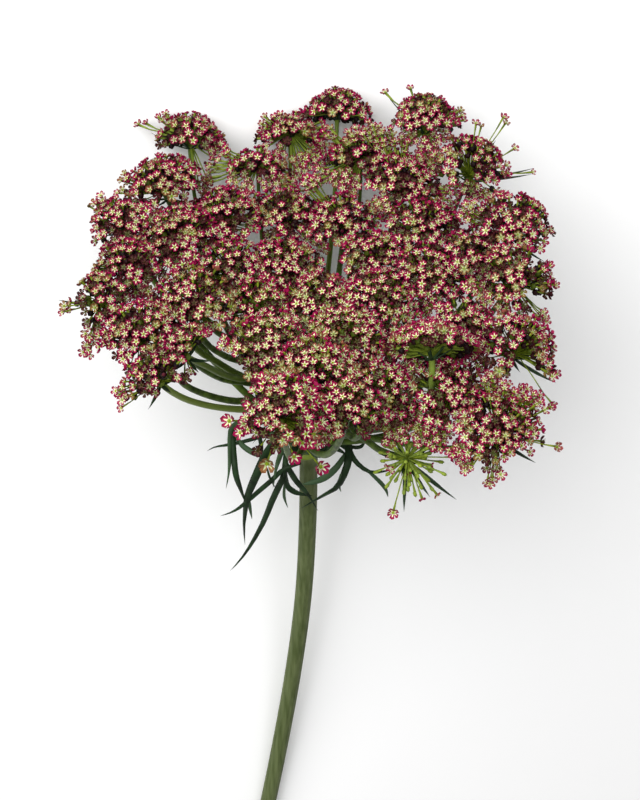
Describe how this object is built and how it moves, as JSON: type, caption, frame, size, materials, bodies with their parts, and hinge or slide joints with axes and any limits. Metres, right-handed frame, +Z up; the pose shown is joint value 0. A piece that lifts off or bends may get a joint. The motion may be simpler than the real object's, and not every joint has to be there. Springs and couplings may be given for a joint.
{
  "type": "cut umbel flower",
  "caption": "Cut flower on one long bare stem: a shallow bowl of dark red and cream umbellets on slender rays, with feathery bracts below.",
  "frame": {"origin": "middle of the bounding box on the table plane that the flower lies on", "axes": "+Z up from the table, +Y from the cut end of the stem towards the flower head"},
  "size_m": [0.1152, 0.2494, 0.1033],
  "materials": {
    "stem_green": "fresh green stem, matt with fine grooves",
    "bract_green": "dark green leafy bract, matt",
    "floret_red": "soft petals, dark red at the rims and cream inside"
  },
  "bodies": {
    "root": {"stem_with_rays": "stem_green", "bract_01": "bract_green", "bract_02": "bract_green", "bract_03": "bract_green", "bract_04": "bract_green", "bract_05": "bract_green", "bract_06": "bract_green", "bract_07": "bract_green", "bract_08": "bract_green", "umbellet_01": "floret_red", "umbellet_02": "floret_red", "umbellet_03": "floret_red", "umbellet_04": "floret_red", "umbellet_05": "floret_red", "umbellet_06": "floret_red", "umbellet_07": "floret_red", "umbellet_08": "floret_red", "umbellet_09": "floret_red", "umbellet_10": "floret_red", "umbellet_11": "floret_red", "umbellet_12": "floret_red", "umbellet_13": "floret_red", "umbellet_14": "floret_red", "umbellet_15": "floret_red", "umbellet_16": "floret_red", "umbellet_17": "floret_red", "umbellet_18": "floret_red", "umbellet_19": "floret_red", "umbellet_20": "floret_red", "umbellet_21": "floret_red", "umbellet_22": "floret_red", "umbellet_23": "floret_red", "umbellet_24": "floret_red", "umbellet_25": "floret_red", "umbellet_26": "floret_red", "umbellet_27": "floret_red", "umbellet_28": "floret_red", "umbellet_29": "floret_red", "umbellet_30": "floret_red", "umbellet_31": "floret_red", "umbellet_32": "floret_red", "umbellet_33": "floret_red", "umbellet_34": "floret_red", "umbellet_35": "floret_red", "umbellet_36": "floret_red", "umbellet_37": "floret_red", "umbellet_38": "floret_red", "umbellet_39": "floret_red", "umbellet_40": "floret_red", "umbellet_41": "floret_red", "umbellet_42": "floret_red", "umbellet_43": "floret_red"}
  },
  "joints": []
}
